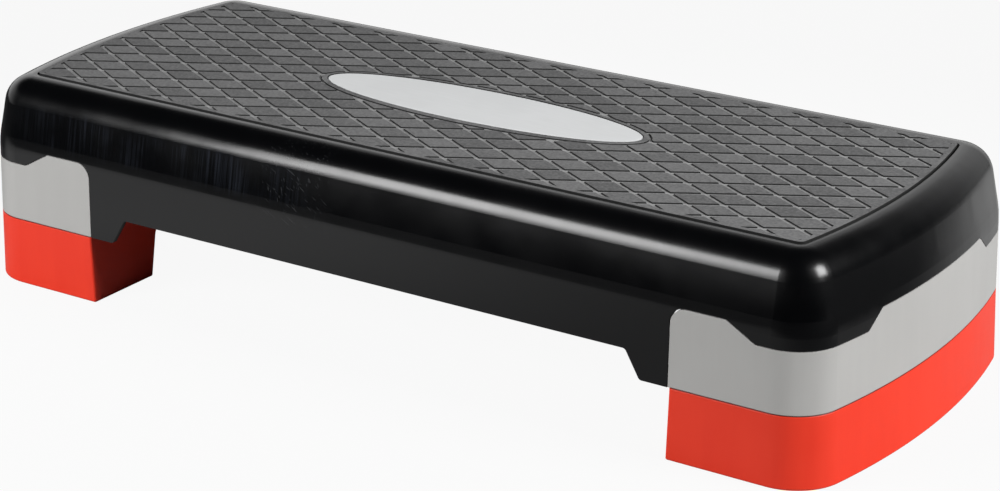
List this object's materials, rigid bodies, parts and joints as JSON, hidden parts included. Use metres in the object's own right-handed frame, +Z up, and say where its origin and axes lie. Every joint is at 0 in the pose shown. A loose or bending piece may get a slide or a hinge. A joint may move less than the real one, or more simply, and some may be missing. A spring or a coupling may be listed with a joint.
{
  "type": "aerobic step platform",
  "caption": "Low exercise step with a tiled tread mat and bowed ends, on end legs that plug onto pull-off risers to give a lower and an upper height.",
  "frame": {"origin": "on the floor, under the middle of the platform", "axes": "+X along the length, -Y to the front, +Z up"},
  "size_m": [0.6888, 0.2804, 0.1477],
  "materials": {
    "deck_plastic": "satin black",
    "mat_rubber": "fine matt grain",
    "badge_plastic": "satin",
    "leg_plastic": "satin",
    "riser_plastic": "satin",
    "foot_rubber": "matt",
    "screw_steel": "zinc plated"
  },
  "bodies": {
    "platform": {"deck_shell": "deck_plastic", "tread_mat": "mat_rubber", "badge_plate": "badge_plastic", "left_end_leg": "leg_plastic", "left_leg_screws": "screw_steel", "left_leg_pad_inner_front": "foot_rubber", "left_leg_pad_inner_back": "foot_rubber", "left_leg_pad_outer_front": "foot_rubber", "left_leg_pad_outer_back": "foot_rubber", "right_end_leg": "leg_plastic", "right_leg_screws": "screw_steel", "right_leg_pad_inner_front": "foot_rubber", "right_leg_pad_inner_back": "foot_rubber", "right_leg_pad_outer_front": "foot_rubber", "right_leg_pad_outer_back": "foot_rubber"},
    "left_riser": {"left_riser": "riser_plastic", "left_riser_foot_inner_front": "foot_rubber", "left_riser_foot_inner_back": "foot_rubber", "left_riser_foot_outer_front": "foot_rubber", "left_riser_foot_outer_back": "foot_rubber"},
    "right_riser": {"right_riser": "riser_plastic", "right_riser_foot_inner_front": "foot_rubber", "right_riser_foot_inner_back": "foot_rubber", "right_riser_foot_outer_front": "foot_rubber", "right_riser_foot_outer_back": "foot_rubber"}
  },
  "joints": [
    {"name": "left_riser_pull", "type": "slide", "parent": "platform", "child": "left_riser", "axis": [0, 0, -1], "range_m": [0, 0.024]},
    {"name": "right_riser_pull", "type": "slide", "parent": "platform", "child": "right_riser", "axis": [0, 0, -1], "range_m": [0, 0.024]}
  ]
}
